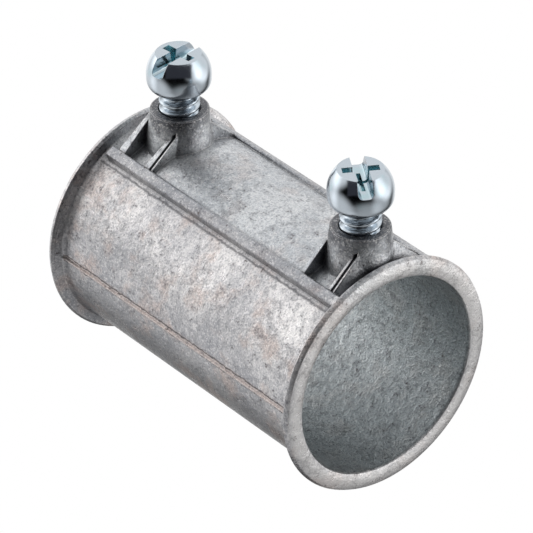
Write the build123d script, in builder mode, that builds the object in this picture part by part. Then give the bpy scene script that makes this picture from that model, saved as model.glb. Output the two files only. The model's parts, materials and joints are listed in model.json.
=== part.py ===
from build123d import *
import math
import os

# Die-cast set-screw coupling for 3/4 inch thin-wall conduit, in millimetres.
# The bore axis is Z, the lower end face lies at z = 0 and both screws point along +X.

# Conduit, bore with a rounded mouth at each end, and wall
conduit_diameter = 23.42
bore_clearance = 0.19
length = 43.0
wall = 0.92
mouth_depth = 0.5
mouth_flare = 0.75
bore_radius = conduit_diameter / 2 + bore_clearance
root_share = 0.8
body_radius = bore_radius + wall

# Ridge inside the bore that stops both conduits at mid-length
stop_height = 0.5
stop_width = 1.0
stop_draft = 0.3

# Rim at each end: a lip that rounds off over its crown and its edge, and a cove behind it
rim_width = 1.43
rim_lip = 1.03
rim_edge = 0.65
rim_crown = 0.9
rim_back_edge = 0.25
rim_cove = 0.9
rim_radius = body_radius + rim_width
cove_end = rim_lip + rim_cove

# Two ridges along the body, one each side of the screws, from short of the lower rim into the upper one
ridge_angle = 28.2
ridge_width = 1.25
ridge_height = 1.1
ridge_side_angle = 80.0
ridge_corner = 0.28
ridge_lower_gap = 2.3
ridge_upper_gap = 0.9
ridge_sink = 0.4

# Raised panel between the ridges, which leaves a pocket open at each end
panel_height = 0.72
panel_lower_gap = 9.0
panel_upper_gap = 7.3
panel_radius = body_radius + panel_height

# Fine fin of metal where the two halves of the die met, sunk half its depth into the barrel
fin_width = 0.68
fin_depth = 0.6
fin_side_angle = 65.0

# Screw thread and shank
thread_diameter = 4.65
shank_clearance = 0.05
shank_length = 7.94
shank_radius = thread_diameter / 2
tip_chamfer = 0.5

# Screw head: a flared underside, a short straight side and a dome with a flat top
head_radius = 3.69
head_height = 4.4
head_dome = 2.62
head_flare = 0.85
neck_radius = 2.17
neck_length = 0.3
head_rest_gap = 2.65

# Slot and cross recess in the head
slot_width = 1.65
slot_depth = 1.7
slot_floor_round = 0.5
cross_span = 4.1
cross_width = 1.0
cross_depth = 2.5
cross_taper = 9.0

# Bosses and their screw holes
boss_height = 4.63
boss_wall = 0.97
boss_draft = 6.5
boss_edge = 0.14
boss_foot = 0.8
hole_bevel = 0.12
hole_radius = shank_radius + shank_clearance
boss_radius = hole_radius + boss_wall
boss_top = body_radius + boss_height

# Webs that run up from the ridges to each boss, with a narrow groove along the outer ones
web_slope = 41.5
web_reach = 2.0
groove_reach = 2.3
groove_depth = 0.4

# Sloping shoulder between the upper boss and its rim
shoulder_offset = 2.6
shoulder_drop = 0.15
shoulder_run = 0.95

# One entry for each boss: its name, place, webs, groove and the turn of its screw's slot.
# Each web and groove has its two faces' offsets from the screw, at the ridge and then at the boss.
lower_boss_height = 6.87
upper_boss_depth = 4.77
upper_boss_height = length - upper_boss_depth
boss_stations = [
    {
        "screw": "lower_set_screw",
        "z": lower_boss_height,
        "webs": [((-3.5, -2.5), (-3.05, -2.55)), ((1.1, 2.45), (1.85, 2.68))],
        "groove": ((1.88, 2.26), (2.16, 2.5)),
        "slot_turn": 7.0,
    },
    {
        "screw": "upper_set_screw",
        "z": upper_boss_height,
        "webs": [((-2.8, -2.3), (-2.75, -2.35)), ((1.75, 2.65), (1.9, 2.65))],
        "groove": ((2.1, 2.46), (2.12, 2.48)),
        "slot_turn": 59.6,
    },
]

# Places that follow from the sizes above.
# What stands on the barrel is rooted inside it, and the bore trims the roots.
ridge_top_radius = body_radius + ridge_height
ridge_inner_half = ridge_top_radius * math.sin(math.radians(ridge_angle)) - ridge_width / 2
ridge_inner_height = math.sqrt(ridge_top_radius**2 - ridge_inner_half**2)
web_rise = math.tan(math.radians(web_slope))
web_top_height = ridge_inner_height + (ridge_inner_half - web_reach) * web_rise
groove_top_height = ridge_inner_height + (ridge_inner_half - groove_reach) * web_rise
dome_start = math.degrees(math.acos(head_dome / head_radius))
middle = length / 2
inside = root_share * bore_radius
boss_root_radius = boss_radius + (boss_top - inside) * math.tan(math.radians(boss_draft))


def rounded_corner(corner, first, last):
    """Points of a small round made of two flats, which leaves the corner's sides at first and last."""
    share = 1 - math.sqrt(0.5)
    between = [at + share * (start + end - 2 * at) for at, start, end in zip(corner, first, last)]
    return [first, tuple(between), last]


def block(bottom, top, faces):
    """Corners of an upright block between two heights and two faces."""
    return [(bottom, faces[0]), (top, faces[0]), (top, faces[1]), (bottom, faces[1])]


def shoulder_foot(across):
    """Height of the barrel's surface at a distance across from the screws."""
    return math.sqrt(body_radius**2 - across**2)


def shoulder_outline(foot, top):
    """Corners of the shoulder seen along the bore, from one ridge to the other."""
    half = [(inside, ridge_inner_half), (foot, ridge_inner_half), (top, web_reach)]
    return [(x, -y) for x, y in half] + half[::-1]


def across_plane(across, height):
    """Upright plane along the bore at a distance across from the screws, with X up and Y along the bore."""
    return Plane((0, across, height), x_dir=(1, 0, 0), z_dir=(0, -1, 0))


with BuildPart() as coupling_body:
    # Plain barrel, solid until the bore is cut
    Cylinder(body_radius, length, align=(Align.CENTER, Align.CENTER, Align.MIN))

    # Bosses, turned about the screws' axes with a little draft
    for station in boss_stations:
        with BuildSketch(Plane.XY.offset(station["z"])):
            with BuildLine():
                Polyline(
                    (inside, 0),
                    (inside, boss_root_radius),
                    (boss_top, boss_radius),
                    (boss_top, 0),
                    close=True,
                )
            make_face()
        revolve(axis=Axis((0, 0, station["z"]), (1, 0, 0)))

    # Rounded foot where each boss grows out of the barrel
    fillet(coupling_body.edges().filter_by(GeomType.BSPLINE), boss_foot)

    # Ridges with drafted sides and rounded corners
    with BuildSketch(Plane.XY.offset(ridge_lower_gap)) as ridge_sections:
        with PolarLocations(
            body_radius + (ridge_height - ridge_sink) / 2,
            2,
            start_angle=-ridge_angle,
            angular_range=2 * ridge_angle,
            endpoint=True,
        ):
            Trapezoid(
                ridge_width + 2 * (ridge_height + ridge_sink) / math.tan(math.radians(ridge_side_angle)),
                ridge_height + ridge_sink,
                ridge_side_angle,
                rotation=-90,
            )
        ridge_corners = ridge_sections.vertices().sort_by_distance((0, 0))[-4:]
        fillet(ridge_corners, ridge_corner)
    extrude(amount=length - ridge_lower_gap - ridge_upper_gap)

    # Panel between the ridges
    with BuildSketch(Plane.XY.offset(panel_lower_gap)):
        with BuildLine():
            panel_face = CenterArc((0, 0), panel_radius, -ridge_angle, 2 * ridge_angle)
            Polyline(panel_face @ 1, (0, 0), panel_face @ 0)
        make_face()
    extrude(amount=length - panel_lower_gap - panel_upper_gap)

    # Webs on both sides of each boss, lofted from the ridge up to the boss
    for station in boss_stations:
        for web_at_ridge, web_at_boss in station["webs"]:
            for side in (-1, 1):
                for across, height, faces in (
                    (ridge_inner_half, ridge_inner_height, web_at_ridge),
                    (web_reach, web_top_height, web_at_boss),
                ):
                    with BuildSketch(across_plane(side * across, station["z"])):
                        Polygon(*block(inside, height, faces), align=None)
                loft(ruled=True)

    # Shoulder that slopes from the upper boss's outer webs down to the barrel
    shoulder_top = upper_boss_height + shoulder_offset
    with BuildSketch(Plane.XY.offset(shoulder_top)):
        shoulder_crest = shoulder_outline(ridge_inner_height - shoulder_drop, web_top_height - shoulder_drop)
        Polygon(*shoulder_crest, align=None)
    with BuildSketch(Plane.XY.offset(shoulder_top + shoulder_run)):
        shoulder_base = shoulder_outline(shoulder_foot(ridge_inner_half), shoulder_foot(web_reach))
        Polygon(*shoulder_base, align=None)
    loft(ruled=True)

    # Groove along the top of each boss's outer webs
    for station in boss_stations:
        groove_at_ridge, groove_at_boss = station["groove"]
        for side in (-1, 1):
            for across, height, faces in (
                (ridge_inner_half, ridge_inner_height, groove_at_ridge),
                (groove_reach, groove_top_height, groove_at_boss),
            ):
                with BuildSketch(across_plane(side * across, station["z"])):
                    Polygon(*block(height - groove_depth, height + groove_depth, faces), align=None)
            loft(ruled=True, mode=Mode.SUBTRACT)

    # Fin along both sides of the barrel, where the die halves met
    with BuildSketch(Plane.XY.offset(rim_lip)):
        with PolarLocations(body_radius, 2, start_angle=90):
            Trapezoid(fin_width, fin_depth, fin_side_angle, rotation=-90)
    extrude(amount=length - 2 * rim_lip)

    # Rims, turned about the bore axis
    rim_round = rounded_corner((rim_radius, 0), (rim_radius - rim_crown, 0), (rim_radius, rim_edge))
    rim_back = rounded_corner(
        (body_radius, rim_lip), (body_radius + rim_cove, rim_lip), (body_radius, cove_end)
    )
    with BuildSketch(Plane.XZ):
        with BuildLine():
            Polyline(
                (inside, 0),
                *rim_round,
                (rim_radius, rim_lip - rim_back_edge),
                (rim_radius - rim_back_edge, rim_lip),
                *rim_back,
                (inside, cove_end),
                close=True,
            )
        make_face()
        mirror(about=Plane.XZ.offset(-middle))
    revolve(axis=Axis.Z)

    # Bore with rounded mouths, and the stop ridge left standing at mid-length
    mouth_round = rounded_corner(
        (bore_radius, 0), (bore_radius + mouth_flare, 0), (bore_radius, mouth_depth)
    )
    with BuildSketch(Plane.XZ):
        with BuildLine():
            Polyline(
                (0, 0),
                *mouth_round,
                (bore_radius, middle - stop_width / 2 - stop_draft),
                (bore_radius - stop_height, middle - stop_width / 2),
                (bore_radius - stop_height, middle),
                (0, middle),
                close=True,
            )
        make_face()
        mirror(about=Plane.XZ.offset(-middle))
    revolve(axis=Axis.Z, mode=Mode.SUBTRACT)

    # Screw holes through the bosses, with a bevelled mouth
    for station in boss_stations:
        with BuildSketch(Plane.YZ.offset(inside)):
            with Locations((0, station["z"])):
                Circle(hole_radius)
        extrude(amount=boss_top, mode=Mode.SUBTRACT)
    boss_rings = coupling_body.faces().group_by(Axis.X)[-1].edges().group_by(SortBy.RADIUS)
    chamfer(boss_rings[0], hole_bevel)
    chamfer(boss_rings[-1], boss_edge)

coupling_body.part.label = "coupling_body"
os.makedirs("parts", exist_ok=True)
export_step(coupling_body.part, "parts/coupling_body.step")

for station in boss_stations:
    head_base = boss_top + head_rest_gap
    head_top = head_base + head_height
    tip = head_base - shank_length

    with BuildPart() as set_screw:
        # Shank, neck and head, turned about the screw's axis
        with BuildSketch(Plane.XY.offset(station["z"])):
            with BuildLine():
                dome = CenterArc((head_top - head_dome, 0), head_radius, dome_start, 90 - dome_start)
                Polyline(
                    dome @ 1,
                    (head_base + head_flare, head_radius),
                    (head_base, neck_radius),
                    (head_base - neck_length, neck_radius),
                    (head_base - neck_length - shank_radius + neck_radius, shank_radius),
                    (tip + tip_chamfer, shank_radius),
                    (tip, shank_radius - tip_chamfer),
                    (tip, 0),
                    (head_top, 0),
                    dome @ 0,
                )
            make_face()
        revolve(axis=Axis((0, 0, station["z"]), (1, 0, 0)))

        # Slot right across the head, with a rounded floor
        slot_turn = math.radians(station["slot_turn"])
        slot_along = Vector(0, math.cos(slot_turn), math.sin(slot_turn))
        slot_across = Vector(0, -math.sin(slot_turn), math.cos(slot_turn))
        with BuildSketch(Plane((head_top, 0, station["z"]), x_dir=slot_across, z_dir=slot_along)):
            RectangleRounded(slot_width, 2 * slot_depth, slot_floor_round)
        extrude(amount=2 * head_radius, both=True, mode=Mode.SUBTRACT)

        # Cross recess, which narrows towards its floor
        with BuildSketch(Plane((head_top, 0, station["z"]), x_dir=slot_along, z_dir=(1, 0, 0))):
            Rectangle(cross_span, cross_width)
            Rectangle(cross_width, cross_span)
        extrude(amount=-cross_depth, taper=cross_taper, mode=Mode.SUBTRACT)

    set_screw.part.label = station["screw"]
    export_step(set_screw.part, f"parts/{station['screw']}.step")
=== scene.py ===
"""A die-cast set-screw coupling for thin-wall conduit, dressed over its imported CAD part."""

import json
import math

import bmesh
import bpy
from mathutils import Matrix, Vector


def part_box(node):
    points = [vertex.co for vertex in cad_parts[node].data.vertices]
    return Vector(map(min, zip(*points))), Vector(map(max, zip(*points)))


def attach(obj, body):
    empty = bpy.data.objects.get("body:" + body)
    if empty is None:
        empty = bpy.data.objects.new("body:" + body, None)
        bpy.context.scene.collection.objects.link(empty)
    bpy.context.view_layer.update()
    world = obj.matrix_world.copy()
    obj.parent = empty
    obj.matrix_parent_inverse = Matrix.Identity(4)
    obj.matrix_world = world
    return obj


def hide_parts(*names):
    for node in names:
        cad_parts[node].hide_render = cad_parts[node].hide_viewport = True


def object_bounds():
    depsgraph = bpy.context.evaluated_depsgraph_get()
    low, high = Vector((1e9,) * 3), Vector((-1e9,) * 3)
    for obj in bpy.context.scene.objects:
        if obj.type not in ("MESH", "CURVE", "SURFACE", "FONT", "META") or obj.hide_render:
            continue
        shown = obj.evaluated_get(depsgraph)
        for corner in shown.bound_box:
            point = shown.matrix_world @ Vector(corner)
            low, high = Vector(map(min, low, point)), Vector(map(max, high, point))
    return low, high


bl_info = {
    "name": "Conduit coupling",
    "version": (1, 0, 0),
    "blender": (4, 5, 0),
    "location": "3D View > Sidebar > Coupling",
    "description": "Casting, set screws and studio for a set-screw conduit coupling",
    "category": "Add Mesh",
}

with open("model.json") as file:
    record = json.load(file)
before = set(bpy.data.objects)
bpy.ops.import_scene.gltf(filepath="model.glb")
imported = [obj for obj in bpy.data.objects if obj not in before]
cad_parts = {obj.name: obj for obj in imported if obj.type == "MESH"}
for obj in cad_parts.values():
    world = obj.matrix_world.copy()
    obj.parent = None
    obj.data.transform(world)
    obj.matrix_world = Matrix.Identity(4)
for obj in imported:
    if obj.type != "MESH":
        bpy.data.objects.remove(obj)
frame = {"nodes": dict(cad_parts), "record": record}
cad_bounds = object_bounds()

MM = 0.001

# The bore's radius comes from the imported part's own record
mounts = {mount["name"]: mount for mount in frame["record"]["mounts"]}
BORE_RADIUS = mounts["lower_bore"]["dims"]["r_mm"] * MM

# How finely the screws are divided: all round, in one turn of the thread, in each curve of the head's
# profile and in each rounded corner of the slot's floor
SCREW_SEGMENTS = 96
THREAD_ROWS = 14
HEAD_ROWS = 14
SLOT_ROWS = 6

# Edges that turn by more degrees than this stay sharp
SCREW_SHARP = 32
CASTING_SHARP = 35

# Corners of the CAD mesh that lie closer than this are one corner
WELD_GAP = 0.001 * MM

# Rays that look for edges and corners near each point of a surface
EDGE_SAMPLES = 6

# Noises: the step between their seeds, the strength of their finer detail, and the limits between which
# nearly all of a noise lies
SEED_STEP = 2.3
FINE_DETAIL = 0.62
NOISE_LOW, NOISE_HIGH = 0.3, 0.7

# Floor and backdrop of the studio in metres, both far larger than the part
FLOOR_REACH = 1.4
BACKDROP_RADIUS = 1.5

# The nearest and the farthest distance that the camera shows, in metres
CLIP_START, CLIP_END = 0.05, 10.0

# Soft lamps of the studio: where each stands as the camera sees it (right, up, back), its brightness,
# and the angle in degrees from its middle to its soft edge
LAMPS = {
    "overhead": ((0.1, 1.0, -0.2), 1.15, 45),
    "upper left": ((-0.75, 0.65, 0.1), 1.1, 50),
    "left, behind": ((-0.85, 0.2, -0.5), 1.2, 50),
    "right": ((0.95, 0.3, 0.0), 1.6, 50),
    "right, in front": ((0.8, 0.1, 0.6), 0.8, 45),
    "behind": ((0.15, 0.25, -0.95), 1.1, 50),
    "above the camera": ((0.2, 0.4, 0.9), 0.8, 45),
    "low on the right": ((0.9, -0.4, 0.0), 0.6, 45),
    "low on the left": ((-0.75, -0.65, -0.1), 0.8, 45),
    "below": ((0.2, -0.95, 0.0), 0.5, 50),
}

# Dark card in front of the camera: the middle and half of its width to the right, upwards and back, as
# parts of a direction with the length 1, and how soft its edge is
CARD = ((0.0, 0.72), (0.04, 0.4), (1.0, 0.9))
CARD_BLUR = 0.03


def linear(code):
    """An sRGB hex colour such as 8A8C90 as linear red, green, blue and alpha."""
    channels = [int(code[at : at + 2], 16) / 255 for at in (0, 2, 4)]
    return [c / 12.92 if c <= 0.04045 else ((c + 0.055) / 1.055) ** 2.4 for c in channels] + [1.0]


def length_property(name, description, millimetres):
    """A length that the user can set, with its default in millimetres."""
    return bpy.props.FloatProperty(
        name=name, description=description, default=millimetres * MM, unit="LENGTH", precision=5
    )


def angle_property(name, description, degrees):
    """An angle that the user can set, with its default in degrees."""
    return bpy.props.FloatProperty(
        name=name, description=description, default=math.radians(degrees), unit="ROTATION"
    )


def number_property(name, description, value):
    """A plain number that the user can set, such as a share or a factor."""
    return bpy.props.FloatProperty(name=name, description=description, default=value, min=0.0)


def colour_property(name, description, code):
    """A colour that the user can set, with its default as an sRGB hex code."""
    return bpy.props.FloatVectorProperty(
        name=name, description=description, default=linear(code), size=4, min=0.0, max=1.0, subtype="COLOR"
    )


class CouplingScrewSizes(bpy.types.PropertyGroup):
    """Sizes of a set screw beyond the box that its CAD stand-in gives."""

    thread_pitch: length_property("Thread pitch", "Distance from one thread crest to the next", 1.06)
    thread_depth: length_property("Thread depth", "Height of the crest above the root", 0.56)
    thread_radius: length_property("Thread radius", "Radius over the thread's crests", 2.325)
    thread_crest: number_property("Thread crest", "Height of the flanks where they meet, in depths", 1.25)
    thread_flank: number_property("Thread flank", "Fall of a flank over one pitch, in depths", 2.9)
    thread_fade: number_property("Thread fade", "Length over which the thread ends, in pitches", 0.6)
    tip_chamfer: length_property("Tip chamfer", "Bevel at the screw's tip", 0.5)
    neck_radius: length_property("Neck radius", "Radius of the plain neck under the head", 2.1)
    neck_length: length_property("Neck length", "Plain neck between the head and the thread", 0.35)
    neck_taper: length_property("Neck taper", "From the thread's end to the plain neck", 0.1)
    neck_corner: length_property("Neck corner", "From the plain neck's end to the head", 0.02)
    head_height: length_property("Head height", "From the underside of the head to its flat top", 4.4)
    head_flat: length_property("Head flat", "Radius of the head's flat top", 2.6)
    head_square: number_property("Underside", "1 is a quarter of an ellipse, less is fuller", 0.62)
    slot_width: length_property("Slot width", "Width of the slot across the head", 1.65)
    slot_depth: length_property("Slot depth", "Depth of the slot", 1.7)
    slot_round: length_property("Slot floor round", "Radius of the slot's floor corners", 0.5)
    cross_span: length_property("Cross span", "Length of the cross recess across the head", 4.1)
    cross_width: length_property("Cross width", "Width of a wing of the cross recess", 1.0)
    cross_depth: length_property("Cross depth", "Depth of the cross recess", 2.5)
    cross_taper: angle_property("Cross taper", "Slope of the walls of the cross recess", 9.0)
    lower_turn: angle_property("Lower screw turn", "Turn of the lower screw's slot", 7.0)
    upper_turn: angle_property("Upper screw turn", "Turn of the upper screw's slot", 59.6)


class CouplingFinish(bpy.types.PropertyGroup):
    """Colours and textures of the casting and the plating."""

    zinc: colour_property("Zinc", "Bare zinc alloy", "E6E3E3")
    # Weathered zinc is also the colour of the painted shade on the lower sides
    zinc_dark_and_shade: colour_property("Weathered zinc", "Duller, greyer patches of the cast skin", "83868D")
    zinc_warm: colour_property("Warm stain", "Pinkish brown stain of the die lubricant", "C9B5AC")
    zinc_cool: colour_property("Cool skin", "Bluer skin of the panel", "B6C1C8")
    # The bore's skin is bluer chill skin, also made paler as painted light inside the bore
    bore_skin_and_light: colour_property("Bore skin", "Smoother, bluer skin of the bore", "E6EEEF")
    # Rubbed metal is also the colour of painted highlights along the edges and on the rims' end faces
    rubbed_and_highlight: colour_property("Rubbed metal", "Bright metal where the tumbling rubbed the edges", "F0EEEC")
    soot: colour_property("Soot", "Dark stain round the screw holes", "4B4C50")
    speck: colour_property("Speck", "Dark brown specks and pits", "5A4A42")
    # Grime is also the dark colour of the painted shade in corners, beside the fin and at the ridges' feet
    grime_and_shade: colour_property("Grime", "Dirt left in the corners", "4A4B50")
    cloud_size: length_property("Cloud size", "Size of the cloudy patches of the cast skin", 7.0)
    stain_size: length_property("Stain size", "Size of the warm stains", 4.0)
    mottle_size: length_property("Mottle size", "Size of the finer mottling", 0.9)
    # The skin's real grain is finer still: this is as coarse as it needs to be to show
    grain_size: length_property("Grain size", "Size of the cast skin's grain", 0.23)
    edge_round: length_property("Edge round", "Radius of the tumbled edges", 0.13)
    # Corner reach: how far from a corner the painted shade can lie
    corner_reach: length_property("Corner reach", "How far from a corner its dirt can lie", 1.8)
    skin_height: length_property("Skin height", "How much the cast skin rises and falls", 0.07)
    skin_strength: number_property("Skin strength", "How clearly the cast skin's relief shows", 0.9)
    skin_smooth: number_property("Smooth skin", "Roughness of the smoothest cast skin", 0.23)
    skin_rough: number_property("Rough skin", "Roughness of the roughest cast skin", 0.4)
    bore_rough: number_property("Bore roughness", "What the bore's skin adds to the roughness", 0.05)
    skin_metallic: number_property("Skin metallic", "Share of metal in the outer skin", 0.85)
    bore_metallic: number_property("Bore metallic", "Share of metal in the bore's skin", 0.95)
    plate: colour_property("Plate", "Bright zinc plate with a blue chromate", "C0C9D1")
    plate_teal: colour_property("Plate tint", "Teal cast of the thicker chromate", "A2CDD2")
    plate_drift: length_property("Plate drift", "Size of the slow changes in the plate", 1.6)
    plate_round: length_property("Plate edge round", "Radius of the plated edges", 0.09)
    plate_height: length_property("Plate height", "How much the plate rises and falls", 0.03)
    plate_strength: number_property("Plate strength", "How clearly the plate's relief shows", 0.15)
    plate_smooth: number_property("Smooth plate", "Roughness of the smoothest plate", 0.12)
    plate_rough: number_property("Rough plate", "Roughness of the roughest plate", 0.2)
    recess_reach: length_property("Recess reach", "How far from a recess's corner the tint can lie", 1.2)
    recess_fade: length_property("Recess fade", "Below the recess's floor, where the tint ends", 0.5)
    tint_start: number_property("Tint start", "Openness of a corner where the tint starts", 0.45)
    tint_most: number_property("Most tint", "Share of the tint in the closest corners", 0.7)


class CouplingMarks(bpy.types.PropertyGroup):
    """Where the marks of casting and handling lie on the body."""

    # Painted shade: the sides grow darker towards the bottom, from the first height over the bore's axis to
    # the second
    lower_shade_start: length_property("Side start", "Over the bore's axis, where the sides start to dull", 7.0)
    lower_shade_full: length_property("Side full", "Over the bore's axis, where the sides are dullest", 1.0)
    fade: length_property("Fade", "Width over which the barrel's marks end at the bore and the rims", 0.3)
    rim_reach: length_property("Rim reach", "From an end face to where the barrel's marks start to end", 1.5)
    # The end faces' brightening is a painted highlight on the rims' crests, in the rubbed metal's colour
    end_highlight_reach: length_property("Rubbed end", "Depth to which the end faces are rubbed", 0.35)
    end_highlight_full: length_property("Bright end", "Depth to which the end faces are rubbed bright", 0.02)
    fin_stain: length_property("Fin stain", "Reach of the stain beside the fin", 0.55)
    fin_core: length_property("Fin stain core", "Reach of the full stain beside the fin", 0.3)
    # The ragged line beside the fin is painted shadow
    fin_line: length_property("Fin line", "From the fin's middle to the ragged line beside it", 0.8)
    fin_wander: length_property("Fin line's wander", "How far that line strays", 0.9)
    fin_thick: length_property("Fin line's edge", "From that line's middle to its edge", 0.12)
    fin_dark: length_property("Fin line's core", "From that line's middle to its dark core's edge", 0.05)
    panel_spread: number_property("Panel spread", "Half of the panel's width over its height", 0.53)
    panel_edge: length_property("Panel edge", "Outside the panel's edge, where its cool skin starts", 0.2)
    panel_core: length_property("Panel core", "Inside the panel's edge, where its skin is coolest", 0.8)
    ridge_middle: length_property("Ridge middle", "From the panel's edge to the ridge's middle", 0.1)
    ridge_reach: length_property("Ridge reach", "Reach of the darker skin on a ridge", 1.2)
    ridge_core: length_property("Ridge core", "Reach of the fully dark skin on a ridge", 0.7)
    # The line at a ridge's foot is painted shade
    foot_line: length_property("Foot line", "From the panel's edge to the line at a ridge's foot", 1.95)
    foot_wander: length_property("Foot line's wander", "How far that line strays", 0.8)
    foot_thick: length_property("Foot line's edge", "From that line's middle to its edge", 0.25)
    foot_dark: length_property("Foot line's core", "From that line's middle to its dark core's edge", 0.06)
    soot_foot: length_property("Soot's foot", "Below the boss's top, where the soot starts", 0.8)
    soot_full: length_property("Full soot", "Above the boss's top, where the soot would be full", 1.8)
    soot_wander: length_property("Soot's wander", "How far the stains push the soot's edge", 6.0)
    soot_ragged: length_property("Soot's ragged edge", "How far the mottling pushes the soot's edge", 5.0)


class CouplingStudio(bpy.types.PropertyGroup):
    """Camera and light."""

    azimuth: angle_property("Azimuth", "Where the camera stands, round the part", 133.31)
    elevation: angle_property("Elevation", "How high the camera stands", 40.26)
    roll: angle_property("Roll", "Turn of the camera about its own line of sight", 123.88)
    distance: length_property("Distance", "From the camera to the point that it looks at", 504.65)
    lens: number_property("Lens", "Focal length in millimetres", 305.6)
    sensor: number_property("Sensor", "Width of the sensor in millimetres", 36.0)
    aim: bpy.props.FloatVectorProperty(
        name="Aim",
        description="The point that the camera looks at",
        default=(3.93 * MM, 0.21 * MM, 22.33 * MM),
        unit="LENGTH",
    )
    floor: colour_property("Floor", "Plain pale floor", "FFFFFF")
    wall: colour_property("Room", "Light of the room between the lamps", "000000")
    lamp: colour_property("Lamps", "Colour of the lamps", "FFFFFF")
    card: colour_property("Card", "Dark card before the camera, which the screws' heads mirror", "3C3C42")
    strength: number_property("Strength", "Strength of all lights", 1.0)


def node(tree, kind, options=None, inputs=None):
    """Adds a node with its options, fills its inputs with values or links, and returns its first output."""
    made = tree.nodes.new(kind)
    for key, value in (options or {}).items():
        setattr(made, key, value)
    for key, value in (inputs or {}).items():
        usable = [s for s in made.inputs if s.enabled]
        socket = usable[key] if isinstance(key, int) else next(s for s in usable if s.name == key)
        if isinstance(value, bpy.types.NodeSocket):
            tree.links.new(value, socket)
        else:
            socket.default_value = value
    return next((s for s in made.outputs if s.enabled), None)


def distance_from(tree, value, middle):
    """How far a value lies from a middle, on either side of it."""
    off = node(tree, "ShaderNodeMath", {"operation": "SUBTRACT"}, {0: value, 1: middle})
    return node(tree, "ShaderNodeMath", {"operation": "ABSOLUTE"}, {0: off})


def distance_across(tree, one_way, other_way):
    """The straight distance to a point that lies so far one way and so far at right angles to it."""
    across = node(tree, "ShaderNodeCombineXYZ", {}, {"X": one_way, "Y": other_way})
    return node(tree, "ShaderNodeVectorMath", {"operation": "LENGTH"}, {0: across}).node.outputs["Value"]


def new_material(name):
    """An empty node material and its tree."""
    material = bpy.data.materials.new(name)
    material.use_nodes = True
    material.node_tree.nodes.clear()
    return material, material.node_tree


def skin_patterns(tree, place, finish):
    """The cast skin's patches, stains, mottling and grain, each a noise of its own real size."""
    patterns = {}
    for seed, (name, size, detail) in enumerate(
        (
            ("clouds", finish.cloud_size, 6.0),
            ("stains", finish.stain_size, 6.0),
            ("mottle", finish.mottle_size, 5.0),
            ("grain", finish.grain_size, 3.0),
        )
    ):
        settings = {
            "Vector": place,
            "W": seed * SEED_STEP,
            "Scale": 1 / size,
            "Detail": detail,
            "Roughness": FINE_DETAIL,
        }
        patterns[name] = node(tree, "ShaderNodeTexNoise", {"noise_dimensions": "4D"}, settings)

    # Pits lie where mottling and grain are both high, and flow lines halfway between light and dark clouds
    pits = {0: patterns["mottle"], 1: 0.9, 2: patterns["grain"]}
    patterns["pits"] = node(tree, "ShaderNodeMath", {"operation": "MULTIPLY_ADD"}, pits)
    patterns["flow lines"] = distance_from(tree, patterns["clouds"], 0.5)
    return patterns


def casting_places(tree, place, patterns, marks, length, screw_holes):
    """Where each point of the casting lies: its distances in metres from what the marks follow, and whether
    it is in the bore, from 0 to 1."""
    x, y, z = node(tree, "ShaderNodeSeparateXYZ", {}, {"Vector": place}).node.outputs
    mottle = patterns["mottle"]

    # The bore and the rims, where the marks of the barrel end. The sum is 0 on the barrel and 1 or more off
    # it, which is too far from any mark once it is added to a distance in metres
    radius = distance_across(tree, x, y)
    bore_limits = {"Value": radius, "From Min": BORE_RADIUS + marks.fade, "From Max": BORE_RADIUS}
    in_bore = node(tree, "ShaderNodeMapRange", {}, bore_limits)
    from_middle = distance_from(tree, z, length / 2)
    rim_start = length / 2 - marks.rim_reach
    rim_limits = {"Value": from_middle, "From Min": rim_start, "From Max": rim_start + marks.fade}
    on_rim = node(tree, "ShaderNodeMapRange", {}, rim_limits)
    off_barrel = node(tree, "ShaderNodeMath", {"operation": "ADD"}, {0: on_rim, 1: in_bore})

    # The fin runs where X is nought, with a ragged line of painted shadow beside it
    from_fin = distance_from(tree, x, 0.0)
    from_fin = node(tree, "ShaderNodeMath", {"operation": "ADD"}, {0: from_fin, 1: off_barrel})
    strayed = {0: mottle, 1: marks.fin_wander, 2: from_fin}
    strayed = node(tree, "ShaderNodeMath", {"operation": "MULTIPLY_ADD"}, strayed)
    fin_line = distance_from(tree, strayed, marks.fin_line)

    # The panel ends where the way sideways is a fixed share of the height over the bore's axis, and a ridge
    # runs along each of these edges
    sideways = distance_from(tree, y, 0.0)
    from_panel = {0: x, 1: -marks.panel_spread, 2: sideways}
    from_panel = node(tree, "ShaderNodeMath", {"operation": "MULTIPLY_ADD"}, from_panel)
    from_ridge = distance_from(tree, from_panel, marks.ridge_middle)
    from_ridge = node(tree, "ShaderNodeMath", {"operation": "ADD"}, {0: from_ridge, 1: off_barrel})
    # Painted shade in a ragged line along each ridge's foot
    strayed = {0: mottle, 1: marks.foot_wander, 2: from_panel}
    strayed = node(tree, "ShaderNodeMath", {"operation": "MULTIPLY_ADD"}, strayed)
    ridge_foot = distance_from(tree, strayed, marks.foot_line)
    ridge_foot = node(tree, "ShaderNodeMath", {"operation": "ADD"}, {0: ridge_foot, 1: off_barrel})

    # Soot round the screw holes: inside a cone about each screw that opens upwards, with a ragged edge
    low, high = screw_holes
    along = distance_from(tree, z, (low.z + high.z) / 2)
    along = distance_from(tree, along, (high.z - low.z) / 2)
    beside = distance_across(tree, y, along)
    soot = node(tree, "ShaderNodeMath", {"operation": "SUBTRACT"}, {0: x, 1: beside})
    for pattern, reach in ((patterns["stains"], marks.soot_wander), (mottle, marks.soot_ragged)):
        soot = node(tree, "ShaderNodeMath", {"operation": "MULTIPLY_ADD"}, {0: pattern, 1: reach, 2: soot})

    return {
        "over axis": x,
        "from middle": from_middle,
        "in bore": in_bore,
        "from fin": from_fin,
        "fin line": fin_line,
        "from panel": from_panel,
        "from ridge": from_ridge,
        "ridge foot": ridge_foot,
        "soot": soot,
    }


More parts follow.
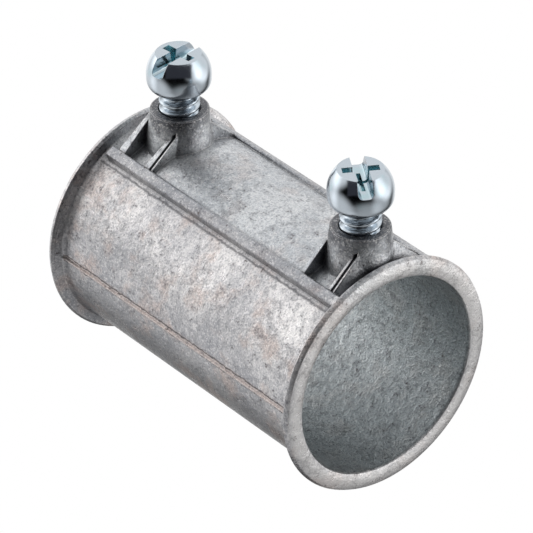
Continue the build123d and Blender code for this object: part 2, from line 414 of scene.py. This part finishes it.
def skin_layers(finish, marks, length, boss_top):
    """Layers of colour: what each follows, where it starts and is full, how much it covers, its colour."""
    end = length / 2
    return (
        ("clouds", 0.44, 0.64, 0.5, finish.zinc_dark_and_shade),
        ("clouds", 0.47, 0.32, 0.7, finish.rubbed_and_highlight),
        # Painted shade, darker towards the bottom of the sides
        ("over axis", marks.lower_shade_start, marks.lower_shade_full, 0.55, finish.zinc_dark_and_shade),
        ("stains", 0.5, 0.62, 0.6, finish.zinc_warm),
        # Bluer skin in the bore, made paler as painted light inside it
        ("in bore", 0.0, 1.0, 0.62, finish.bore_skin_and_light),
        ("from panel", marks.panel_edge, -marks.panel_core, 0.45, finish.zinc_cool),
        ("from ridge", marks.ridge_reach, marks.ridge_core, 0.6, finish.zinc_dark_and_shade),
        ("soot", boss_top - marks.soot_foot, boss_top + marks.soot_full, 0.97, finish.soot),
        ("mottle", 0.49, 0.66, 0.5, finish.zinc_dark_and_shade),
        ("from fin", marks.fin_stain, marks.fin_core, 0.7, finish.zinc_warm),
        ("grain", 0.5, 0.64, 0.55, finish.zinc_dark_and_shade),
        # Painted highlight on the rims' end faces
        ("from middle", end - marks.end_highlight_reach, end - marks.end_highlight_full, 0.6, finish.rubbed_and_highlight),
        ("grain", 0.47, 0.36, 0.5, finish.rubbed_and_highlight),
        # Brighter along the edges: partly rubbed wear, partly painted highlight
        ("bend", 0.99, 0.9, 0.7, finish.rubbed_and_highlight),
        # Painted shade in corners that little light reaches
        ("corner_shade", 1.22, 0.8, 0.75, finish.grime_and_shade),
        # Painted shadow in a ragged line beside the fin
        ("fin line", marks.fin_thick, marks.fin_dark, 0.8, finish.grime_and_shade),
        # Painted shade in a ragged line at each ridge's foot
        ("ridge foot", marks.foot_thick, marks.foot_dark, 0.7, finish.grime_and_shade),
        ("flow lines", 0.016, 0.003, 0.27, finish.grime_and_shade),
        ("pits", 1.12, 1.2, 0.7, finish.speck),
    )


# Zinc alloy comes out of the die with a dull grey, grainy skin. To the eye it is a soft, broken reflection
# with cloudy patches and warm stains of lubricant. Painted shade darkens the corners, the lower sides and
# ragged lines beside the fin and at the ridges' feet. The edges are brighter, partly rubbed and partly as
# painted highlight. The rims' end faces carry a painted highlight, and the bore's skin is made paler as
# painted light.
def casting_material(finish, marks, length, screw_holes):
    """Zinc alloy as it leaves the die and the tumbling drum."""
    material, tree = new_material("Zinc alloy, as cast and tumbled")
    place = node(tree, "ShaderNodeTexCoord").node.outputs["Object"]
    follows = skin_patterns(tree, place, finish)
    follows.update(casting_places(tree, place, follows, marks, length, screw_holes))

    # Wear and painted highlight: edges where the rounded normal leaves the true one. Painted shade: corners
    # that little light reaches, with a mottled edge
    rounded = node(tree, "ShaderNodeBevel", {"samples": EDGE_SAMPLES}, {"Radius": finish.edge_round})
    true_normal = node(tree, "ShaderNodeNewGeometry").node.outputs["Normal"]
    bend = node(tree, "ShaderNodeVectorMath", {"operation": "DOT_PRODUCT"}, {0: rounded, 1: true_normal})
    follows["bend"] = bend.node.outputs["Value"]
    reach = {"Distance": finish.corner_reach}
    corner = node(tree, "ShaderNodeAmbientOcclusion", {"samples": EDGE_SAMPLES}, reach).node.outputs["AO"]
    corner_shade = {0: follows["mottle"], 1: 0.8, 2: corner}
    follows["corner_shade"] = node(tree, "ShaderNodeMath", {"operation": "MULTIPLY_ADD"}, corner_shade)

    colour = finish.zinc
    for name, start, full, most, tint in skin_layers(finish, marks, length, screw_holes[0].x):
        limits = {"Value": follows[name], "From Min": start, "From Max": full, "To Max": most}
        share = node(tree, "ShaderNodeMapRange", {}, limits)
        layer = {"Factor": share, "A": colour, "B": tint}
        colour = node(tree, "ShaderNodeMix", {"data_type": "RGBA"}, layer)

    rough = {
        "Value": follows["mottle"],
        "From Min": NOISE_LOW,
        "From Max": NOISE_HIGH,
        "To Min": finish.skin_smooth,
        "To Max": finish.skin_rough,
    }
    rough = node(tree, "ShaderNodeMapRange", {}, rough)
    rough = {0: follows["in bore"], 1: finish.bore_rough, 2: rough}
    rough = node(tree, "ShaderNodeMath", {"operation": "MULTIPLY_ADD"}, rough)
    metallic = {"Value": follows["in bore"], "To Min": finish.skin_metallic, "To Max": finish.bore_metallic}
    metallic = node(tree, "ShaderNodeMapRange", {}, metallic)

    height = follows["grain"]
    for name, share in (("mottle", 1.5), ("stains", 2.0)):
        height = {0: follows[name], 1: share, 2: height}
        height = node(tree, "ShaderNodeMath", {"operation": "MULTIPLY_ADD"}, height)
    relief = {
        "Strength": finish.skin_strength,
        "Distance": finish.skin_height,
        "Height": height,
        "Normal": rounded,
    }
    bump = node(tree, "ShaderNodeBump", {}, relief)
    skin = {"Base Color": colour, "Metallic": metallic, "Roughness": rough, "Normal": bump}
    surface = node(tree, "ShaderNodeBsdfPrincipled", {}, skin)
    node(tree, "ShaderNodeOutputMaterial", {}, {"Surface": surface})
    return material


# Bright zinc plate mirrors the room sharply. To the eye it is a cool, nearly even mirror on which
# reflections waver a little, with a teal cast in the slot and recess, where the chromate is thicker.
def plate_material(finish, recess_floor):
    """Steel with a bright zinc plate and a blue chromate."""
    material, tree = new_material("Steel, bright zinc plated, blue chromate")
    place = node(tree, "ShaderNodeTexCoord").node.outputs["Object"]
    slow = {"Vector": place, "Scale": 1 / finish.plate_drift, "Detail": 3.0, "Roughness": 0.5}
    drift = node(tree, "ShaderNodeTexNoise", {}, slow)

    # The tint gathers in corners of the head, and nowhere on the thread
    reach = {"Distance": finish.recess_reach}
    recess = node(tree, "ShaderNodeAmbientOcclusion", {"samples": EDGE_SAMPLES}, reach).node.outputs["AO"]
    recess = node(tree, "ShaderNodeMath", {"operation": "SUBTRACT"}, {0: drift, 1: recess})
    tint = {"Value": recess, "From Min": -finish.tint_start, "From Max": 0.0, "To Max": finish.tint_most}
    tint = node(tree, "ShaderNodeMapRange", {}, tint)
    x = node(tree, "ShaderNodeSeparateXYZ", {}, {"Vector": place})
    head_limits = {"Value": x, "From Min": recess_floor - finish.recess_fade, "From Max": recess_floor}
    in_head = node(tree, "ShaderNodeMapRange", {}, head_limits)
    tint = node(tree, "ShaderNodeMath", {"operation": "MULTIPLY"}, {0: tint, 1: in_head})
    tinted = {"Factor": tint, "A": finish.plate, "B": finish.plate_teal}
    colour = node(tree, "ShaderNodeMix", {"data_type": "RGBA"}, tinted)

    rough = {
        "Value": drift,
        "From Min": NOISE_LOW,
        "From Max": NOISE_HIGH,
        "To Min": finish.plate_smooth,
        "To Max": finish.plate_rough,
    }
    rough = node(tree, "ShaderNodeMapRange", {}, rough)
    rounded = node(tree, "ShaderNodeBevel", {"samples": EDGE_SAMPLES}, {"Radius": finish.plate_round})
    relief = {
        "Strength": finish.plate_strength,
        "Distance": finish.plate_height,
        "Height": drift,
        "Normal": rounded,
    }
    bump = node(tree, "ShaderNodeBump", {}, relief)
    skin = {"Base Color": colour, "Metallic": 1.0, "Roughness": rough, "Normal": bump}
    surface = node(tree, "ShaderNodeBsdfPrincipled", {}, skin)
    node(tree, "ShaderNodeOutputMaterial", {}, {"Surface": surface})
    return material


# Pale paper, lit evenly all over. To the eye it is a plain ground with no shade on it.
def paper_material(name, colour):
    """The studio's plain, evenly lit paper."""
    material, tree = new_material(name)
    surface = node(tree, "ShaderNodeEmission", {}, {"Color": colour, "Strength": 1.0})
    node(tree, "ShaderNodeOutputMaterial", {}, {"Surface": surface})
    return material


def new_mesh(name, vertices, faces):
    """A mesh of these vertices and faces."""
    mesh = bpy.data.meshes.new(name)
    mesh.from_pydata(vertices, [], faces)
    mesh.update()
    return mesh


def turned_mesh(name, rows, segments):
    """A closed mesh about the X axis. Each row gives its place and a radius for each segment's angle."""
    vertices, faces = [], []
    for at, radius_of in rows:
        for step in range(segments):
            angle = 2 * math.pi * step / segments
            radius = radius_of(angle)
            vertices.append((at, radius * math.cos(angle), radius * math.sin(angle)))
    for row in range(len(rows) - 1):
        for step in range(segments):
            here, after = row * segments + step, row * segments + (step + 1) % segments
            faces.append((here, after, after + segments, here + segments))
    faces.append(tuple(reversed(range(segments))))
    faces.append(tuple(range((len(rows) - 1) * segments, len(rows) * segments)))
    return new_mesh(name, vertices, faces)


def prism_mesh(name, first_outline, last_outline, start, end):
    """A closed prism along X from one outline of (Y, Z) points to another with as many points."""
    count = len(first_outline)
    vertices = [(start, y, z) for y, z in first_outline] + [(end, y, z) for y, z in last_outline]
    faces = [tuple(range(count - 1, -1, -1)), tuple(range(count, 2 * count))]
    faces += [(i, (i + 1) % count, (i + 1) % count + count, i + count) for i in range(count)]
    return new_mesh(name, vertices, faces)


def place_object(name, mesh, matrix=Matrix.Identity(4)):
    """Links a mesh object with its vertices moved into place and its faces turned outwards."""
    shaping = bmesh.new()
    shaping.from_mesh(mesh)
    shaping.transform(matrix)
    bmesh.ops.recalc_face_normals(shaping, faces=shaping.faces)
    shaping.to_mesh(mesh)
    shaping.free()
    made = bpy.data.objects.new(name, mesh)
    bpy.context.scene.collection.objects.link(made)
    return made


def cut_away(target, cutters):
    """Cuts the cutters out of the target for good and removes them."""
    for cutter in cutters:
        cut = target.modifiers.new("Cut", "BOOLEAN")
        cut.operation, cut.solver, cut.object = "DIFFERENCE", "EXACT", cutter
    bpy.context.view_layer.update()
    depsgraph = bpy.context.evaluated_depsgraph_get()
    cut_mesh = bpy.data.meshes.new_from_object(target.evaluated_get(depsgraph))
    target.modifiers.clear()
    target.data = cut_mesh
    for cutter in cutters:
        bpy.data.objects.remove(cutter)


def smooth_by_angle(thing, degrees):
    """Smooth shading, with sharp edges where faces meet at more than the angle."""
    mesh = thing.data
    mesh.polygons.foreach_set("use_smooth", [True] * len(mesh.polygons))
    mesh.set_sharp_from_angle(angle=math.radians(degrees))


def soften(thing, degrees):
    """Smooth shading, led by the large faces, over a CAD mesh whose faces don't share their edges."""
    thing.data.attributes.remove(thing.data.attributes["custom_normal"])
    thing.data.polygons.foreach_set("use_smooth", [True] * len(thing.data.polygons))
    weld = thing.modifiers.new("Weld", "WELD")
    weld.merge_threshold = WELD_GAP
    split = thing.modifiers.new("Split", "EDGE_SPLIT")
    split.split_angle = math.radians(degrees)
    split.use_edge_sharp = False
    weights = thing.modifiers.new("Weights", "WEIGHTED_NORMAL")
    weights.weight = 100


def screw_rows(sizes, tip, top, head_radius):
    """Profile of the screw from its tip to its flat top, with the thread's helix in between."""
    base = top - sizes.head_height
    dome_height = math.sqrt(head_radius**2 - sizes.head_flat**2)
    dome_end = math.atan2(dome_height, sizes.head_flat)
    belly = top - dome_height
    thread_end = base - sizes.neck_length
    crest, depth, pitch = sizes.thread_radius, sizes.thread_depth, sizes.thread_pitch
    root = crest - depth

    def threaded(at):
        """The thread at one place along the screw: it rises at the tip and fades at the neck."""
        rise = (at - tip) / sizes.tip_chamfer
        fall = (thread_end - at) / (sizes.thread_fade * pitch)
        fade = max(0.0, min(1.0, rise, fall))
        ceiling = crest - max(0.0, sizes.tip_chamfer - (at - tip))

        def radius_of(angle):
            phase = (at / pitch - angle / (2 * math.pi)) % 1.0
            ridge = max(0.0, min(1.0, sizes.thread_crest - sizes.thread_flank * abs(phase - 0.5)))
            smooth = ridge * ridge * (3 - 2 * ridge)
            return min(ceiling, root + depth * smooth * fade)

        return radius_of

    def plain(radius):
        return lambda angle: radius

    rows = []
    steps = int((thread_end - tip) / pitch * THREAD_ROWS)
    for step in range(steps + 1):
        at = tip + (thread_end - tip) * step / steps
        rows.append((at, threaded(at)))
    rows.append((thread_end + sizes.neck_taper, plain(sizes.neck_radius)))
    rows.append((base - sizes.neck_corner, plain(sizes.neck_radius)))

    # The underside flares from the neck to the head's widest place, and the dome is part of a ball
    for step in range(HEAD_ROWS + 1):
        angle = math.pi / 2 * step / HEAD_ROWS
        up = (belly - base) * (1 - math.cos(angle) ** sizes.head_square)
        out = (head_radius - sizes.neck_radius) * math.sin(angle) ** sizes.head_square
        rows.append((base + up, plain(sizes.neck_radius + out)))
    for step in range(1, HEAD_ROWS + 1):
        angle = dome_end * step / HEAD_ROWS
        rows.append((belly + head_radius * math.sin(angle), plain(head_radius * math.cos(angle))))
    return rows


def slot_outline(sizes):
    """The slot's outline as (across, down) points: open above the head, with round corners at its floor."""
    half, depth, floor_round = sizes.slot_width / 2, sizes.slot_depth, sizes.slot_round
    outline = [(half, -depth), (-half, -depth)]
    for corner, start in ((-1, math.pi), (1, 1.5 * math.pi)):
        for step in range(SLOT_ROWS + 1):
            angle = start + math.pi / 2 * step / SLOT_ROWS
            across = corner * (half - floor_round) + floor_round * math.cos(angle)
            down = depth - floor_round - floor_round * math.sin(angle)
            outline.append((across, down))
    return outline


def make_screw(name, cad_node, turn, sizes, material):
    """A set screw with its helical thread, domed head, slot and cross recess."""
    low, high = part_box(cad_node)
    axis = Vector((0, (low.y + high.y) / 2, (low.z + high.z) / 2))
    head_radius = (high.y - low.y) / 2
    tip, top = low.x, high.x
    mesh = turned_mesh(name, screw_rows(sizes, tip, top, head_radius), SCREW_SEGMENTS)
    made = place_object(name, mesh)

    # Each cutter is a prism along its own X, turned and moved to the head. The slot runs right across it
    along = Vector((0, math.cos(turn), math.sin(turn)))
    across = Vector((0, -math.sin(turn), math.cos(turn)))
    down = Vector((-1, 0, 0))
    to_head = Matrix.Translation((top, 0, 0))
    outline = slot_outline(sizes)
    reach = 2 * head_radius
    slot_mesh = prism_mesh("slot_cutter", outline, outline, -reach, reach)
    slot_place = to_head @ Matrix((along, across, down)).transposed().to_4x4()
    cutters = [place_object("slot_cutter", slot_mesh, slot_place)]

    # Cross recess: two wings that start above the head and narrow towards their floor
    wing_place = to_head @ Matrix((down, along, across)).transposed().to_4x4()
    corners = [(1, 1), (-1, 1), (-1, -1), (1, -1)]
    narrowing = math.tan(sizes.cross_taper)
    start, floor = -0.1 * sizes.cross_depth, sizes.cross_depth
    for label, long, wide in (
        ("long_wing", sizes.cross_span / 2, sizes.cross_width / 2),
        ("wide_wing", sizes.cross_width / 2, sizes.cross_span / 2),
    ):
        outlines = []
        for depth in (start, floor):
            inset = depth * narrowing
            outlines.append([(u * (long - inset), v * (wide - inset)) for u, v in corners])
        wing = prism_mesh(label, *outlines, start, floor)
        cutters.append(place_object(label, wing, wing_place))
    cut_away(made, cutters)
    made.data.transform(Matrix.Translation(axis))
    smooth_by_angle(made, SCREW_SHARP)
    made.data.materials.clear()
    made.data.materials.append(material)
    return made


def card_share(tree, along, axes):
    """How much of the dark card in front of the camera shows in each direction."""
    share = 1.0
    for axis, (middle, half) in zip(axes.col, CARD):
        place = node(tree, "ShaderNodeVectorMath", {"operation": "DOT_PRODUCT"}, {0: along, 1: axis})
        off = distance_from(tree, place.node.outputs["Value"], middle)
        limits = {"Value": off, "From Min": half + CARD_BLUR, "From Max": half - CARD_BLUR, "To Max": 1.0}
        within = node(tree, "ShaderNodeMapRange", {}, limits)
        share = node(tree, "ShaderNodeMath", {"operation": "MULTIPLY"}, {0: share, 1: within})
    return share


def studio_world(studio, axes):
    """The light all round: a room with soft lamps and, in front of the camera, a dark card."""
    world = bpy.data.worlds.new("Studio")
    world.use_nodes = True
    tree = world.node_tree
    tree.nodes.clear()
    along = node(tree, "ShaderNodeTexCoord").node.outputs["Generated"]
    light = studio.wall
    for toward, bright, spread in LAMPS.values():
        facing = (axes @ Vector(toward)).normalized()
        near = node(tree, "ShaderNodeVectorMath", {"operation": "DOT_PRODUCT"}, {0: along, 1: facing})
        edge = math.cos(math.radians(spread))
        limits = {"Value": near.node.outputs["Value"], "From Min": edge, "To Max": bright}
        lit = node(tree, "ShaderNodeMapRange", {"interpolation_type": "SMOOTHSTEP"}, limits)
        added = {"Factor": lit, "A": light, "B": studio.lamp}
        light = node(tree, "ShaderNodeMix", {"data_type": "RGBA", "blend_type": "ADD"}, added)
    covered = {"Factor": card_share(tree, along, axes), "A": light, "B": studio.card}
    light = node(tree, "ShaderNodeMix", {"data_type": "RGBA"}, covered)
    sky = node(tree, "ShaderNodeBackground", {}, {"Color": light, "Strength": studio.strength})
    node(tree, "ShaderNodeOutputWorld", {}, {"Surface": sky})
    return world


class COUPLING_OT_casting(bpy.types.Operator):
    """Dress the cast body"""

    bl_idname = "coupling.casting"
    bl_label = "Casting"
    bl_options = {"REGISTER", "UNDO"}

    def execute(self, context):
        body = frame["nodes"]["coupling_body"]
        body.data.materials.clear()
        body_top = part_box("coupling_body")[1]
        screw_holes = []
        for side in ("lower", "upper"):
            low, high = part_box(f"{side}_set_screw")
            screw_holes.append(Vector((body_top.x, (low.y + high.y) / 2, (low.z + high.z) / 2)))
        finish, marks = context.scene.coupling_finish, context.scene.coupling_marks
        body.data.materials.append(casting_material(finish, marks, body_top.z, screw_holes))
        soften(body, CASTING_SHARP)
        return {"FINISHED"}


class COUPLING_OT_screws(bpy.types.Operator):
    """Build both set screws in place of their CAD stand-ins"""

    bl_idname = "coupling.screws"
    bl_label = "Set screws"
    bl_options = {"REGISTER", "UNDO"}

    def execute(self, context):
        sizes = context.scene.coupling_screw
        recess_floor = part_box("upper_set_screw")[1].x - sizes.cross_depth
        plate = plate_material(context.scene.coupling_finish, recess_floor)
        for side, turn in (("lower", sizes.lower_turn), ("upper", sizes.upper_turn)):
            screw = make_screw(f"{side}_threaded_screw", f"{side}_set_screw", turn, sizes, plate)
            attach(screw, f"{side}_screw")
            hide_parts(f"{side}_set_screw")
        return {"FINISHED"}


class COUPLING_OT_studio(bpy.types.Operator):
    """Set up the floor, the backdrop, the light and the camera"""

    bl_idname = "coupling.studio"
    bl_label = "Studio"
    bl_options = {"REGISTER", "UNDO"}

    def execute(self, context):
        scene = context.scene
        studio = scene.coupling_studio
        azimuth, elevation, roll = studio.azimuth, studio.elevation, studio.roll
        out = math.cos(elevation)
        back = Vector((math.sin(azimuth) * out, -math.cos(azimuth) * out, math.sin(elevation)))
        level = Vector((math.cos(azimuth), math.sin(azimuth), 0))
        right = math.cos(roll) * level + math.sin(roll) * back.cross(level)
        axes = Matrix((right, back.cross(right), back)).transposed()

        camera = bpy.data.cameras.new("Camera")
        camera.lens = studio.lens
        camera.sensor_width = studio.sensor
        camera.clip_start = CLIP_START
        camera.clip_end = CLIP_END
        holder = bpy.data.objects.new("Camera", camera)
        scene.collection.objects.link(holder)
        holder.matrix_world = Matrix.Translation(Vector(studio.aim) + back * studio.distance) @ axes.to_4x4()
        scene.camera = holder

        corners = ((-1, -1), (1, -1), (1, 1), (-1, 1))
        vertices = [(x * FLOOR_REACH, y * FLOOR_REACH, cad_bounds[0].z) for x, y in corners]
        floor = place_object("floor", new_mesh("floor", vertices, [(0, 1, 2, 3)]))
        floor.data.materials.append(paper_material("Pale studio floor", studio.floor))
        bpy.ops.mesh.primitive_ico_sphere_add(subdivisions=4, radius=BACKDROP_RADIUS)
        backdrop = context.active_object
        backdrop.name = "backdrop"
        backdrop.data.materials.append(paper_material("Pale studio backdrop", studio.floor))
        for thing in (floor, backdrop):
            thing.visible_diffuse = False
            thing.visible_glossy = False
            thing.visible_shadow = False
            thing.visible_transmission = False
            thing.visible_volume_scatter = False

        scene.world = studio_world(studio, axes)
        scene.view_settings.view_transform = "Standard"
        return {"FINISHED"}


OPERATORS = (COUPLING_OT_casting, COUPLING_OT_screws, COUPLING_OT_studio)


class COUPLING_PT_panel(bpy.types.Panel):
    """Lists the coupling's pieces in the sidebar"""

    bl_idname = "COUPLING_PT_panel"
    bl_label = "Conduit coupling"
    bl_space_type = "VIEW_3D"
    bl_region_type = "UI"
    bl_category = "Coupling"

    def draw(self, context):
        for operator in OPERATORS:
            self.layout.operator(operator.bl_idname)


SETTINGS = {
    "coupling_screw": CouplingScrewSizes,
    "coupling_finish": CouplingFinish,
    "coupling_marks": CouplingMarks,
    "coupling_studio": CouplingStudio,
}
CLASSES = (*SETTINGS.values(), *OPERATORS, COUPLING_PT_panel)


def register():
    """Registers the classes and hangs the settings on the scene."""
    for each in CLASSES:
        bpy.utils.register_class(each)
    for name, group in SETTINGS.items():
        setattr(bpy.types.Scene, name, bpy.props.PointerProperty(type=group))


def unregister():
    """Takes the settings and the classes away again."""
    for name in SETTINGS:
        delattr(bpy.types.Scene, name)
    for each in reversed(CLASSES):
        bpy.utils.unregister_class(each)


def main():
    """Builds everything in order."""
    register()
    bpy.ops.coupling.casting()
    bpy.ops.coupling.screws()
    bpy.ops.coupling.studio()


if __name__ == "__main__":
    main()
